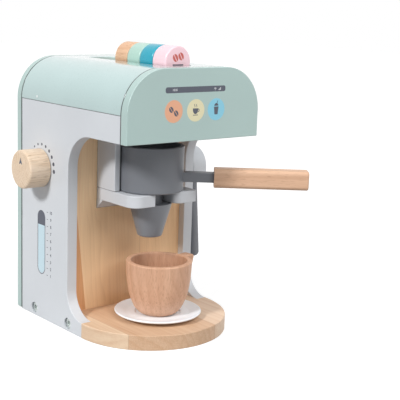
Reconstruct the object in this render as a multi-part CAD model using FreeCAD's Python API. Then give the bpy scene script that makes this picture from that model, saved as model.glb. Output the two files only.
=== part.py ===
import FreeCAD, Part
import math
import os
from FreeCAD import Vector

# Toy coffee maker of painted board and pine, in millimetres.
# The origin lies on the floor under the spout, at the centre of the round front of the base.
# +X is the right side seen from the front, +Y the back, +Z up.

# Casing
body_width = 180.0
head_arm = 29.3
board_t = 13.0
back_t = 10.2
fascia_t = 10.6
wall_t = 12.0
ceiling_t = 10.0
base_t = 17.0
roof_t = 5.0
roof_radius = 48.0
back_y = 132.5
front_y = -64.9
foot_round = 3.0
board_edge = 0.8

# Bay cut into the side panels
bay_headroom = 13.6
bay_edge_y = 32.7
bay_top_radius = 40.0
bay_foot_radius = 30.0
wall_setback = 9.5
ceiling_setback = 4.0

# Capsule tray in the roof
capsule_r = 17.5
capsule_t = 23.0
capsule_gap = 0.3
capsule_side_play = 1.0
capsule_count = 4
capsule_front_y = -42.5
capsule_proud = 3.4
capsule_edge = 1.6
slot_rear_y = 108.0
slot_front_play = 7.0
slot_corner = 10.0
slot_edge = 1.2
tray_wall = 8.0
tray_floor = 6.0
seat_gap = 0.3

# Battens under the roof
batten_width = 15.0
batten_rise = 20.0
batten_drop = 16.0

# Holder for the filter
block_half_width = 45.0
block_front_y = 7.0
fork_top_z = 160.0
fork_t = 13.5
fork_front_y = -28.5
fork_left_corner = 14.0
fork_right_corner = 3.0
fork_lip_round = 9.0
fork_slot_width = 29.0
bracket_depth = 12.0
bracket_drop = 11.0
pocket_play = 0.7

# Filter with handle
filter_r = 37.0
filter_height = 51.5
filter_wall = 4.5
filter_floor = 6.0
filter_bottom_round = 2.0
filter_rim_round = 1.0
spigot_r = 8.0
spigot_play = 0.05
spigot_rise = 5.0
stem_play = 1.0
cone_top_r = 24.8
cone_bottom_r = 13.8
cone_gap = 0.7
cone_height = 38.8
cone_round = 2.0
cone_bore_r = 4.0
handle_angle = 39.2
handle_rise = 16.0
bar_height = 10.8
bar_width = 12.0
handle_start = 71.2
handle_end = 178.0
handle_height = 21.8
handle_width = 21.0
handle_round = 4.5
handle_end_round = 6.5
tenon_r = 4.0
tenon_length = 22.0

# Knob on the left side
knob_y = 88.4
knob_z = 179.2
knob_r = 22.0
knob_length = 27.0
knob_round = 2.5
knob_gap = 0.5
spindle_r = 5.0
spindle_play = 0.08
spindle_in_knob = 16.0
retainer_r = 13.0
retainer_t = 7.0
washer_r = 10.0
washer_t = 1.5

# Steam wand on the right side
steam_t = 20.0
steam_depth = 34.0
steam_height = 36.0
steam_front_round = 24.0
steam_back_round = 8.0
steam_gap = 0.4
steam_pin_r = 4.0
steam_pin_play = 0.06
steam_pin_in_block = 12.0
steam_pin_below_top = 10.0
steam_pin_end_play = 3.0
wand_top_r = 4.5
wand_bottom_r = 6.3
wand_bottom_z = 62.5
wand_lean = 5.5
wand_offset = 3.0
wand_in_block = 14.0

# Cup and saucer
cup_y = -19.0
cup_gap = 24.9
cup_rim_r = 37.8
cup_foot_r = 19.5
cup_wall = 6.2
cup_floor = 8.0
cup_bore_foot_r = 12.5
cup_rim_round = 1.4
ear_turn = 10.0
ear_reach = 17.5
ear_slant = 7.5
ear_width = 13.0
ear_foot = 25.5
ear_knee_share = 0.72
ear_corner = 3.0
ear_knee_round = 9.0
ear_edge = 1.5
ear_strap = 4.8
ear_hole_round = 2.2
saucer_r = 51.0
saucer_height = 7.0
saucer_t = 3.2
saucer_foot_r = 31.0
saucer_foot_t = 4.2
saucer_well_r = 25.0
saucer_well_depth = 1.2
saucer_rim_drop = 0.9

# Fasteners
bolt_head_r = 6.0
bolt_head_t = 3.0
bolt_recess = 5.0
bolt_play = 0.6
bolt_r = 2.4
bolt_length = 36.0
socket_r = 2.9
socket_depth = 2.2
bolt_rear_y = 103.0
bolt_front_y = 30.8
dowel_r = 3.0
dowel_in_panel = 7.0
dowel_in_rail = 13.0
wall_dowel_inset = 28.0
ceiling_dowel_inset = 22.0
back_dowel_inset = 25.0
screw_r = 2.0
screw_head_r = 4.0
screw_length = 32.0
block_screw_low = 16.0
block_screw_high = 14.0
block_screw_side = 5.0
fork_screw_x = 32.0
fork_screw_y = 33.0
roof_pin_r = 1.3
roof_pin_length = 14.0
roof_pin_y = 98.5
roof_pin_rise = 4.6

# Sizes that follow from the ones above
filter_z = fork_top_z + seat_gap
bay_top_z = filter_z + filter_height + bay_headroom
body_height = bay_top_z + head_arm + roof_radius
half_width = body_width / 2
inner_x = half_width - board_t
seam_z = body_height - roof_radius
foot_front_y = bay_edge_y - bay_foot_radius
wall_y = bay_edge_y + wall_setback
ceiling_z = bay_top_z + ceiling_setback
pitch = capsule_t + capsule_gap
slot_half = capsule_r + capsule_side_play
slot_front_y = capsule_front_y - slot_front_play
capsule_z = body_height + capsule_proud
tray_top_of_floor = capsule_z - capsule_r - seat_gap
roof_under_z = body_height - roof_t
fork_bottom_z = fork_top_z - fork_t
cone_top_z = fork_bottom_z - cone_gap
cone_bottom_z = cone_top_z - cone_height
handle_z = filter_z + handle_rise
pocket_r = filter_r + pocket_play
stem_r = fork_slot_width / 2 - stem_play
saucer_z = base_t + seat_gap
well_z = saucer_z + saucer_foot_t - saucer_well_depth
cup_z = well_z + seat_gap
cup_height = cone_bottom_z - cup_gap - cup_z
ear_height = cup_height - ear_foot
steam_bottom_z = fork_top_z
steam_top_z = steam_bottom_z + steam_height
steam_pivot_y = bay_edge_y + steam_depth / 2
steam_pin_z = steam_top_z - steam_pin_below_top
steam_pin_reach = min(steam_pin_in_block, steam_t - 3)
bolt_z = base_t / 2 + 0.5
Z_AXIS = Vector(0, 0, 1)


def box(x0, x1, y0, y1, z0, z1):
    return Part.makeBox(x1 - x0, y1 - y0, z1 - z0, Vector(x0, y0, z0))


def rod(radius, start, end):
    line = Vector(*end) - Vector(*start)
    return Part.makeCylinder(radius, line.Length, Vector(*start), line)


def slab(edges, push):
    face = Part.Face(Part.Wire(Part.__sortEdges__(edges)))
    return face.extrude(push)


def chain(points):
    edges = []
    for first, second in zip(points, points[1:] + points[:1]):
        if (second - first).Length > 1e-6:
            edges.append(Part.makeLine(first, second))
    return edges


def arc(first, middle, last):
    return Part.Arc(first, middle, last).toShape()


def rounded_profile(corners):
    # Closed outline through (radius, height, bend) corners, with an arc of radius bend at each corner
    first = Vector(corners[0][0], 0, corners[0][1])
    last = Vector(corners[-1][0], 0, corners[-1][1])
    edges = []
    reached = first
    for before, here, after in zip(corners, corners[1:], corners[2:]):
        corner = Vector(here[0], 0, here[1])
        back = (Vector(before[0], 0, before[1]) - corner).normalize()
        ahead = (Vector(after[0], 0, after[1]) - corner).normalize()
        half = back.getAngle(ahead) / 2
        reach = here[2] / math.tan(half)
        middle = corner + (back + ahead).normalize() * (here[2] / math.sin(half) - here[2])
        start = corner + back * reach
        end = corner + ahead * reach
        edges += [Part.makeLine(reached, start), arc(start, middle, end)]
        reached = end
    edges += [Part.makeLine(reached, last), Part.makeLine(last, first)]
    return edges


def turned(corners, y=0.0):
    face = Part.Face(Part.Wire(rounded_profile(corners)))
    solid = face.revolve(Vector(0, 0, 0), Z_AXIS, 360)
    solid.translate(Vector(0, y, 0))
    return solid


def soften(solid, radius, wanted):
    edges = [edge for edge in solid.Edges if wanted(edge)]
    return solid.makeFillet(radius, edges)


def eased(board):
    return board.makeFillet(board_edge, board.Edges)


def lies_at(edge, axis, level):
    # True for an edge that lies in the plane across the axis at that level
    bounds = edge.BoundBox
    low = {"x": bounds.XMin, "y": bounds.YMin, "z": bounds.ZMin}[axis]
    high = {"x": bounds.XMax, "y": bounds.YMax, "z": bounds.ZMax}[axis]
    return abs(low - level) < 0.001 and abs(high - level) < 0.001


def is_upright(edge):
    if not isinstance(edge.Curve, Part.Line):
        return False
    return abs(edge.tangentAt(edge.FirstParameter).z) > 0.999


def export(node, shape):
    solids = shape.Solids
    joined = solids[0] if len(solids) == 1 else Part.makeCompound(solids)
    joined.exportStep("parts/" + node + ".step")


# Outline with two rounded upper corners, shared by fascia, roof and back panel

def arch_edges(inset, y, bottom):
    reach = half_width - inset
    radius = roof_radius - inset
    top = body_height - inset
    bend = reach - radius
    diagonal = radius * math.sqrt(0.5)
    left = Vector(-reach, y, seam_z)
    left_top = Vector(-bend, y, top)
    right_top = Vector(bend, y, top)
    right = Vector(reach, y, seam_z)
    edges = [
        arc(left, Vector(-bend - diagonal, y, seam_z + diagonal), left_top),
        Part.makeLine(left_top, right_top),
        arc(right_top, Vector(bend + diagonal, y, seam_z + diagonal), right),
    ]
    foot = [right, Vector(reach, y, bottom), Vector(-reach, y, bottom), left]
    for first, second in zip(foot, foot[1:]):
        if (second - first).Length > 1e-6:
            edges.append(Part.makeLine(first, second))
    return edges


# Casing

def side_panel(side):
    x = side * half_width
    arc_y = bay_edge_y - bay_top_radius
    arc_z = bay_top_z - bay_top_radius
    foot_z = base_t + bay_foot_radius
    diagonal = math.sqrt(0.5)
    top_start = Vector(x, arc_y, bay_top_z)
    top_middle = Vector(x, arc_y + bay_top_radius * diagonal, arc_z + bay_top_radius * diagonal)
    top_end = Vector(x, bay_edge_y, arc_z)
    foot_start = Vector(x, bay_edge_y, foot_z)
    foot_drop = bay_foot_radius * diagonal
    foot_middle = Vector(x, foot_front_y + foot_drop, foot_z - foot_drop)
    foot_end = Vector(x, foot_front_y, base_t)
    corners = [
        foot_end,
        Vector(x, foot_front_y, 0),
        Vector(x, back_y, 0),
        Vector(x, back_y, seam_z),
        Vector(x, front_y, seam_z),
        Vector(x, front_y, bay_top_z),
        top_start,
    ]
    edges = [Part.makeLine(first, second) for first, second in zip(corners, corners[1:])]
    edges.append(arc(top_start, top_middle, top_end))
    edges.append(Part.makeLine(top_end, foot_start))
    edges.append(arc(foot_start, foot_middle, foot_end))
    panel = eased(slab(edges, Vector(-side * board_t, 0, 0)))
    for hole in bolt_recesses(side) + panel_dowel_list(side):
        panel = panel.cut(hole)
    panel = panel.cut(Part.makeCompound(back_dowel_list() + fascia_dowel_list()))
    if side < 0:
        panel = panel.cut(spindle_hole())
    else:
        panel = panel.cut(steam_pin_hole())
    return panel


def base_board():
    rear = box(-inner_x, inner_x, foot_front_y, back_y, 0, base_t)
    straight = box(-half_width, half_width, 0, foot_front_y, 0, base_t)
    disc = Part.makeCylinder(half_width, base_t)
    front = disc.common(box(-half_width, half_width, -half_width, 0, 0, base_t))
    board = eased(rear.fuse([straight, front]).removeSplitter())
    for side in (-1, 1):
        for shank in bolt_shanks(side):
            board = board.cut(shank)
    return board


def back_panel():
    panel = slab(arch_edges(0, back_y, 0), Vector(0, back_t, 0))
    panel = soften(panel, foot_round, lambda edge: lies_at(edge, "z", 0) and edge.BoundBox.XLength < 0.01)
    return eased(panel).cut(Part.makeCompound(back_dowel_list()))


def fascia():
    panel = eased(slab(arch_edges(0, front_y, bay_top_z), Vector(0, -fascia_t, 0)))
    return panel.cut(Part.makeCompound(fascia_dowel_list()))


def slot_block(z0, z1):
    block = box(-slot_half, slot_half, slot_front_y, slot_rear_y, z0, z1)
    return soften(block, min(slot_corner, slot_half - 1), is_upright)


def is_slot_edge(edge):
    widest = max(abs(edge.BoundBox.XMin), abs(edge.BoundBox.XMax))
    return lies_at(edge, "z", body_height) and widest < slot_half + 1


def roof_shell():
    depth = Vector(0, back_y - front_y, 0)
    outer = slab(arch_edges(0, front_y, seam_z), depth)
    inner = slab(arch_edges(roof_t, front_y, seam_z), depth)
    shell = eased(outer.cut(inner)).cut(slot_block(roof_under_z - 1, body_height + 1))
    shell = soften(shell, slot_edge, is_slot_edge)
    return shell.cut(Part.makeCompound(roof_pin_list()))


def recess_wall():
    wall = box(-inner_x, inner_x, wall_y, wall_y + wall_t, base_t, seam_z)
    for side in (-1, 1):
        wall = wall.cut(Part.makeCompound(wall_dowel_list(side)))
    return wall.cut(Part.makeCompound(block_screw_list()))


def ceiling_board():
    board = box(-inner_x, inner_x, front_y, wall_y, ceiling_z, ceiling_z + ceiling_t)
    for side in (-1, 1):
        board = board.cut(Part.makeCompound(ceiling_dowel_list(side)))
    return board


def capsule_tray():
    outer_x = slot_half + tray_wall
    front = slot_front_y - tray_wall
    rear = slot_rear_y + tray_wall
    tray = box(-outer_x, outer_x, front, rear, tray_top_of_floor - tray_floor, roof_under_z)
    return tray.cut(box(-slot_half, slot_half, front - 1, rear + 1, tray_top_of_floor, roof_under_z + 1))


def roof_batten(side):
    outer_x = half_width - roof_t
    reach_in = inner_x - batten_width
    low, high = sorted((side * outer_x, side * reach_in))
    upper = box(low, high, front_y, back_y, seam_z, seam_z + batten_rise)
    bend_x = side * (half_width - roof_radius)
    bend_r = roof_radius - roof_t
    curve = rod(bend_r, (bend_x, front_y, seam_z), (bend_x, back_y, seam_z))
    upper = upper.common(curve)
    low, high = sorted((side * inner_x, side * reach_in))
    tray_x = slot_half + tray_wall
    lower = box(low, high, front_y, wall_y, seam_z - batten_drop, seam_z)
    rear = box(low, high, wall_y + wall_t, back_y, seam_z - batten_drop, seam_z)
    ceiling_top = ceiling_z + ceiling_t
    lower = lower.cut(box(-half_width, half_width, front_y, wall_y, 0, ceiling_top))
    batten = upper.fuse([lower, rear]).removeSplitter()
    batten = batten.cut(box(-tray_x, tray_x, front_y, back_y, 0, body_height))
    return batten.cut(Part.makeCompound(roof_pin_list()))


# Holder for the filter

def group_block():
    block = box(-block_half_width, block_half_width, block_front_y, wall_y, fork_top_z, ceiling_z)
    block = eased(block.cut(rod(pocket_r, (0, 0, fork_top_z - 1), (0, 0, ceiling_z + 1))))
    block = block.cut(Part.makeCompound(block_screw_list()))
    return block.cut(Part.makeCompound(fork_screw_list()))


def is_fork_corner(edge, x):
    at_front = abs(edge.BoundBox.YMax - fork_front_y) < 0.01
    return is_upright(edge) and at_front and abs(edge.BoundBox.XMax - x) < 0.01


def fork_board():
    board = box(-block_half_width, block_half_width, fork_front_y, wall_y, fork_bottom_z, fork_top_z)
    slot_r = fork_slot_width / 2
    slot = box(-slot_r, slot_r, fork_front_y - 1, 0, fork_bottom_z - 1, fork_top_z + 1)
    slot = slot.fuse(rod(slot_r, (0, 0, fork_bottom_z - 1), (0, 0, fork_top_z + 1)))
    board = board.cut(slot)
    board = soften(board, fork_left_corner, lambda edge: is_fork_corner(edge, -block_half_width))
    board = soften(board, fork_right_corner, lambda edge: is_fork_corner(edge, block_half_width))
    board = soften(board, fork_lip_round, lambda edge: is_fork_corner(edge, slot_r))
    return eased(board).cut(Part.makeCompound(fork_screw_list()))


def fork_bracket():
    x = -block_half_width
    corners = [
        Vector(x, wall_y, fork_bottom_z),
        Vector(x, wall_y - bracket_depth, fork_bottom_z),
        Vector(x, wall_y, fork_bottom_z - bracket_drop),
    ]
    return slab(chain(corners), Vector(2 * block_half_width, 0, 0))


# Filter with handle

def turn_to_handle(shape):
    shape.rotate(Vector(0, 0, 0), Z_AXIS, -handle_angle)
    return shape


def filter_cup():
    bore_r = filter_r - filter_wall
    outer = rod(filter_r, (0, 0, filter_z), (0, 0, filter_z + filter_height))
    outer = soften(outer, filter_bottom_round, lambda edge: lies_at(edge, "z", filter_z))
    cup = outer.cut(rod(bore_r, (0, 0, filter_z + filter_floor), (0, 0, filter_z + filter_height + 1)))
    cup = soften(cup, filter_rim_round, lambda edge: lies_at(edge, "z", filter_z + filter_height))
    hole_r = spigot_r + spigot_play
    return cup.cut(rod(hole_r, (0, 0, filter_z - 1), (0, 0, filter_z + filter_floor + 1)))


def filter_bar():
    half = bar_width / 2
    inside = filter_r - filter_wall / 2
    bar = box(inside, handle_start, -half, half, handle_z - bar_height / 2, handle_z + bar_height / 2)
    bar = bar.cut(rod(filter_r, (0, 0, 0), (0, 0, body_height)))
    tenon = rod(tenon_r, (handle_start - 1, 0, handle_z), (handle_start + tenon_length, 0, handle_z))
    return turn_to_handle(bar.fuse(tenon).removeSplitter())


def filter_handle():
    half_w = handle_width / 2
    half_h = handle_height / 2
    grip = box(handle_start, handle_end, -half_w, half_w, handle_z - half_h, handle_z + half_h)
    long_round = min(handle_round, half_w - 1, half_h - 1)
    end_round = min(handle_end_round, half_w - 1, half_h - 1)
    grip = soften(grip, long_round, lambda edge: edge.BoundBox.XLength > 1)
    grip = soften(grip, end_round - long_round, lambda edge: edge.BoundBox.XMin > handle_end - 0.01)
    mortise = rod(tenon_r, (handle_start - 1, 0, handle_z), (handle_start + tenon_length, 0, handle_z))
    return turn_to_handle(grip.cut(mortise))


def spout():
    cone = Part.makeCone(cone_bottom_r, cone_top_r, cone_height, Vector(0, 0, cone_bottom_z))
    cone = soften(cone, cone_round, lambda edge: lies_at(edge, "z", cone_bottom_z))
    stem = rod(stem_r, (0, 0, cone_top_z - 1), (0, 0, fork_top_z))
    spigot = rod(spigot_r, (0, 0, fork_top_z - 1), (0, 0, filter_z + spigot_rise))
    piece = cone.fuse([stem, spigot]).removeSplitter()
    return piece.cut(rod(cone_bore_r, (0, 0, cone_bottom_z - 1), (0, 0, filter_z + spigot_rise + 1)))


# Knob on the left side

def knob():
    face_x = -half_width - knob_gap
    end_x = -half_width - knob_length
    body = rod(knob_r, (end_x, knob_y, knob_z), (face_x, knob_y, knob_z))
    body = soften(body, knob_round, lambda edge: edge.BoundBox.XLength < 0.01)
    start = face_x - spindle_in_knob
    return body.cut(rod(spindle_r, (start, knob_y, knob_z), (face_x + 1, knob_y, knob_z)))


def spindle_end_x():
    return -inner_x + washer_t + retainer_t + knob_gap


def knob_spindle():
    start = -half_width - knob_gap - spindle_in_knob
    return rod(spindle_r, (start, knob_y, knob_z), (spindle_end_x(), knob_y, knob_z))


def spindle_hole():
    reach = spindle_r + spindle_play
    return rod(reach, (-half_width - 1, knob_y, knob_z), (-inner_x + 1, knob_y, knob_z))


def ring_on_spindle(radius, bore, x0, x1):
    ring = rod(radius, (x0, knob_y, knob_z), (x1, knob_y, knob_z))
    return ring.cut(rod(bore, (x0 - 1, knob_y, knob_z), (x1 + 1, knob_y, knob_z)))


def knob_washer():
    start = -inner_x + knob_gap
    return ring_on_spindle(washer_r, spindle_r, start, start + washer_t)


def knob_retainer():
    start = -inner_x + knob_gap + washer_t
    return ring_on_spindle(retainer_r, spindle_r, start, start + retainer_t)


# Steam wand on the right side

def wand_ends():
    middle_x = half_width + steam_gap + steam_t / 2 + wand_offset
    drop = steam_bottom_z - wand_bottom_z
    slope = wand_lean / drop
    top = (middle_x - slope * wand_in_block, steam_pivot_y, steam_bottom_z + wand_in_block)
    end = (middle_x + wand_lean, steam_pivot_y, wand_bottom_z)
    return top, end


def wand_solid():
    top, end = wand_ends()
    line = Vector(*top) - Vector(*end)
    return Part.makeCone(wand_bottom_r, wand_top_r, line.Length, Vector(*end), line)


def steam_wand():
    end = wand_ends()[1]
    tip = Part.makeSphere(wand_bottom_r, Vector(*end))
    return wand_solid().fuse(tip).removeSplitter()


def steam_block():
    x0 = half_width + steam_gap
    x1 = x0 + steam_t
    back = bay_edge_y + steam_depth
    block = box(x0, x1, bay_edge_y, back, steam_bottom_z, steam_top_z)
    front_round = min(steam_front_round, steam_depth - steam_back_round - 1)
    block = soften(block, front_round, lambda e: lies_at(e, "y", bay_edge_y) and lies_at(e, "z", steam_top_z))
    block = soften(block, steam_back_round, lambda e: lies_at(e, "y", back) and lies_at(e, "z", steam_top_z))
    block = soften(block, board_edge, lambda e: lies_at(e, "x", x0) or lies_at(e, "x", x1))
    block = block.cut(wand_solid())
    return block.cut(steam_rod(steam_pin_r, x0 - 1, x0 + steam_pin_reach))


def steam_rod(radius, x0, x1):
    return rod(radius, (x0, steam_pivot_y, steam_pin_z), (x1, steam_pivot_y, steam_pin_z))


def steam_pin():
    return steam_rod(steam_pin_r, inner_x + steam_pin_end_play, half_width + steam_gap + steam_pin_reach)


def steam_pin_hole():
    start = inner_x + steam_pin_end_play - 0.5
    return steam_rod(steam_pin_r + steam_pin_play, start, half_width + 1)


# Capsules

def capsule(index):
    front = capsule_front_y + index * pitch
    coin = rod(capsule_r, (0, front, capsule_z), (0, front + capsule_t, capsule_z))
    return soften(coin, capsule_edge, lambda edge: edge.BoundBox.YLength < 0.01)


# Cup and saucer

def cup_profile():
    # Radius as a share of the rim and height as a share of the cup, from foot to rim
    return [(0.63, 0.05), (0.755, 0.16), (0.88, 0.36), (0.965, 0.66), (1.0, 1.0)]


def cup_wall_curve(inset, floor_z):
    points = []
    for share, height in cup_profile():
        z = cup_z + cup_height * height
        if z > floor_z + 2:
            points.append(Vector(cup_rim_r * share - inset, 0, z))
    return points


def cup_solid(foot, floor_z, inset, top_z):
    # Solid of revolution under the wall curve, from the floor to the top
    points = [Vector(foot, 0, floor_z)] + cup_wall_curve(inset, floor_z)
    curve = Part.BSplineCurve()
    curve.interpolate(points)
    rim = points[-1]
    corners = [rim, Vector(rim.x, 0, top_z), Vector(0, 0, top_z), Vector(0, 0, floor_z), points[0]]
    edges = [curve.toShape()]
    for start, end in zip(corners, corners[1:]):
        if (end - start).Length > 1e-6:
            edges.append(Part.makeLine(start, end))
    return Part.Face(Part.Wire(edges)).revolve(Vector(0, 0, 0), Z_AXIS, 360)


def cup():
    rim_z = cup_z + cup_height
    outer = cup_solid(cup_foot_r, cup_z, 0, rim_z)
    bore = cup_solid(cup_bore_foot_r, cup_z + cup_floor, cup_wall, rim_z + 2)
    body = soften(outer.cut(bore), cup_rim_round, lambda edge: lies_at(edge, "z", rim_z))
    body = body.fuse(cup_ear().cut(outer)).removeSplitter()
    body.translate(Vector(0, cup_y, 0))
    return body


def cup_ear():
    # Flat loop with a slanting outer side, turned about the cup's axis
    top_z = cup_z + cup_height - cup_rim_round
    low_z = cup_z + cup_height - ear_height
    knee_z = top_z - ear_height * ear_knee_share
    root_x = cup_rim_r - cup_wall
    outer_x = cup_rim_r + ear_reach
    knee_x = outer_x - ear_slant
    half = ear_width / 2
    outline = [(root_x, top_z), (outer_x, top_z), (knee_x, knee_z), (root_x, low_z)]
    ear = slab(chain([Vector(x, -half, z) for x, z in outline]), Vector(0, ear_width, 0))
    ear = soften(ear, ear_corner, lambda edge: abs(edge.BoundBox.XMin - outer_x) < 0.01)
    ear = soften(ear, ear_knee_round, lambda edge: is_ear_knee(edge, knee_x, knee_z))
    ear = soften(ear, ear_edge, lambda edge: lies_at(edge, "y", -half) or lies_at(edge, "y", half))
    hole_x = outer_x - ear_strap
    hole_outline = [
        (cup_rim_r - cup_wall / 2, top_z - ear_strap),
        (hole_x, top_z - ear_strap),
        (hole_x - ear_slant, knee_z),
        (cup_rim_r - cup_wall / 2, low_z + ear_strap),
    ]
    corners = [Vector(x, -half - 1, z) for x, z in hole_outline]
    hole = slab(chain(corners), Vector(0, ear_width + 2, 0))
    hole = soften(hole, ear_hole_round, lambda edge: edge.BoundBox.YLength > 1)
    ear = ear.cut(hole)
    ear.rotate(Vector(0, 0, 0), Z_AXIS, ear_turn)
    return ear


def is_ear_knee(edge, x, z):
    bounds = edge.BoundBox
    return bounds.YLength > 1 and abs(bounds.XMin - x) < 0.01 and abs(bounds.ZMin - z) < 0.01


def saucer():
    rim_z = saucer_z + saucer_height
    plate_z = saucer_z + saucer_foot_t
    floor_z = plate_z - saucer_well_depth
    corners = [
        (0, saucer_z, 0),
        (saucer_foot_r, saucer_z, 1.2),
        (saucer_foot_r + 3, saucer_z + 0.9, 5),
        (saucer_r - 2.5, rim_z - saucer_t, 3),
        (saucer_r, rim_z - 1.3, 1.0),
        (saucer_r - 1.6, rim_z, 0.8),
        (saucer_r - 5, rim_z - saucer_rim_drop, 5),
        (saucer_foot_r + 5, plate_z, 8),
        (saucer_well_r + 1.2, plate_z, 0.6),
        (saucer_well_r, floor_z, 0.6),
        (0, floor_z, 0),
    ]
    return turned(corners, cup_y)


# Fasteners

def bolt_places():
    return [bolt_rear_y, bolt_front_y]


def bolt_recesses(side):
    cuts = []
    outer = side * (half_width + 1)
    seat = side * (half_width - bolt_recess)
    for y in bolt_places():
        cuts.append(rod(bolt_head_r + bolt_play, (outer, y, bolt_z), (seat, y, bolt_z)))
        cuts.append(rod(bolt_r, (seat, y, bolt_z), (side * (inner_x - 1), y, bolt_z)))
    return cuts


def bolt_shanks(side):
    seat = half_width - bolt_recess
    end = side * (seat - bolt_length)
    return [rod(bolt_r, (side * seat, y, bolt_z), (end, y, bolt_z)) for y in bolt_places()]


def panel_bolts():
    bolts = []
    seat = half_width - bolt_recess
    for side in (-1, 1):
        for shank, y in zip(bolt_shanks(side), bolt_places()):
            face = seat + bolt_head_t
            head = rod(bolt_head_r, (side * seat, y, bolt_z), (side * face, y, bolt_z))
            socket = rod(socket_r, (side * (face + 1), y, bolt_z), (side * (face - socket_depth), y, bolt_z))
            bolts.append(head.fuse(shank).removeSplitter().cut(socket))
    return Part.makeCompound(bolts)


def wall_dowel_list(side):
    middle_y = wall_y + wall_t / 2
    low = base_t + wall_dowel_inset
    high = seam_z - wall_dowel_inset
    places = [low, (low + high) / 2, high]
    return [cross_dowel(side, middle_y, z) for z in places]


def ceiling_dowel_list(side):
    z = ceiling_z + ceiling_t / 2
    return [cross_dowel(side, y, z) for y in (front_y + ceiling_dowel_inset, wall_y - ceiling_dowel_inset)]


def cross_dowel(side, y, z):
    start = side * (inner_x + dowel_in_panel)
    end = side * (inner_x - dowel_in_rail)
    return rod(dowel_r, (start, y, z), (end, y, z))


def panel_dowel_list(side):
    return wall_dowel_list(side) + ceiling_dowel_list(side)


def wall_dowels():
    return Part.makeCompound(wall_dowel_list(-1) + wall_dowel_list(1))


def ceiling_dowels():
    return Part.makeCompound(ceiling_dowel_list(-1) + ceiling_dowel_list(1))


def end_dowel(side, z, face_y, into_face, into_panel):
    x = side * (half_width - board_t / 2)
    return rod(dowel_r, (x, face_y + into_face, z), (x, face_y - into_panel, z))


def back_dowel_list():
    places = [base_t + back_dowel_inset, seam_z / 2, seam_z - back_dowel_inset]
    return [end_dowel(side, z, back_y, dowel_in_panel, dowel_in_rail) for side in (-1, 1) for z in places]


def fascia_dowel_list():
    z = (bay_top_z + seam_z) / 2
    return [end_dowel(side, z, front_y, -dowel_in_panel, -dowel_in_rail) for side in (-1, 1)]


def back_dowels():
    return Part.makeCompound(back_dowel_list())


def fascia_dowels():
    return Part.makeCompound(fascia_dowel_list())


def screw(head, tip):
    shank = rod(screw_r, head, tip)
    line = Vector(*tip) - Vector(*head)
    sink = Part.makeCone(screw_head_r, screw_r, screw_head_r - screw_r + 0.4, Vector(*head), line)
    return shank.fuse(sink).removeSplitter()


def block_screw_list():
    z_places = [fork_top_z + block_screw_low, ceiling_z - block_screw_high]
    x = block_half_width - block_screw_side
    y = wall_y + wall_t
    return [screw((side * x, y, z), (side * x, y - screw_length, z)) for side in (-1, 1) for z in z_places]


def block_screws():
    return Part.makeCompound(block_screw_list())


def fork_screw_list():
    y = min(fork_screw_y, wall_y - bracket_depth - screw_head_r - 1)
    screws = []
    for side in (-1, 1):
        head = (side * fork_screw_x, y, fork_bottom_z)
        screws.append(screw(head, (side * fork_screw_x, y, fork_bottom_z + screw_length)))
    return screws


def fork_screws():
    return Part.makeCompound(fork_screw_list())


def roof_pin_list():
    z = seam_z + roof_pin_rise
    outer = half_width - 0.05
    pins = []
    for side in (-1, 1):
        inner = outer - roof_pin_length
        pins.append(rod(roof_pin_r, (side * outer, roof_pin_y, z), (side * inner, roof_pin_y, z)))
    return pins


def roof_pins():
    return Part.makeCompound(roof_pin_list())


def main():
    os.makedirs("parts", exist_ok=True)
    export("side_panel_left", side_panel(-1))
    export("side_panel_right", side_panel(1))
    export("base_board", base_board())
    export("back_panel", back_panel())
    export("fascia", fascia())
    export("roof_shell", roof_shell())
    export("recess_wall", recess_wall())
    export("ceiling_board", ceiling_board())
    export("capsule_tray", capsule_tray())
    export("roof_batten_left", roof_batten(-1))
    export("roof_batten_right", roof_batten(1))
    export("group_block", group_block())
    export("fork_board", fork_board())
    export("fork_bracket", fork_bracket())
    export("filter_cup", filter_cup())
    export("filter_bar", filter_bar())
    export("filter_handle", filter_handle())
    export("spout", spout())
    export("knob", knob())
    export("knob_spindle", knob_spindle())
    export("knob_washer", knob_washer())
    export("knob_retainer", knob_retainer())
    export("steam_block", steam_block())
    export("steam_wand", steam_wand())
    export("steam_pin", steam_pin())
    for index in range(capsule_count):
        export("capsule_" + str(index + 1), capsule(index))
    export("cup", cup())
    export("saucer", saucer())
    export("panel_bolts", panel_bolts())
    export("wall_dowels", wall_dowels())
    export("ceiling_dowels", ceiling_dowels())
    export("back_dowels", back_dowels())
    export("fascia_dowels", fascia_dowels())
    export("block_screws", block_screws())
    export("fork_screws", fork_screws())
    export("roof_pins", roof_pins())


main()
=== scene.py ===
import math

import bmesh
import bpy
from mathutils import Matrix, Vector


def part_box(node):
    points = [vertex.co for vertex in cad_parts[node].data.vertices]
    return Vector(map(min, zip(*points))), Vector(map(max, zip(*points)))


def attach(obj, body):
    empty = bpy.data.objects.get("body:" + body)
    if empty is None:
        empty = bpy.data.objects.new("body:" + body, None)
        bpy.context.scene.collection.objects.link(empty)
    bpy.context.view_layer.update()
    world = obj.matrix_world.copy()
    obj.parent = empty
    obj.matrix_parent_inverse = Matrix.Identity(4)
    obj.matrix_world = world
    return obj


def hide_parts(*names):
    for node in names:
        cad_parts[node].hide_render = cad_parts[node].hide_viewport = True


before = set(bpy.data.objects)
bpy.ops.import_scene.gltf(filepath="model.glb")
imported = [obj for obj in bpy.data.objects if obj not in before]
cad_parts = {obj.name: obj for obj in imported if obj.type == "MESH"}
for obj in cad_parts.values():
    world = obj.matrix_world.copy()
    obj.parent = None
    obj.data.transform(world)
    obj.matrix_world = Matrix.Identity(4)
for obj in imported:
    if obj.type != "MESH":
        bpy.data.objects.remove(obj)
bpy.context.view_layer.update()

# Lengths are in millimetres and are brought to metres by this factor.
# Only the studio's own lengths, those of lamps and floor, are in metres.
MM = 0.001

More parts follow.
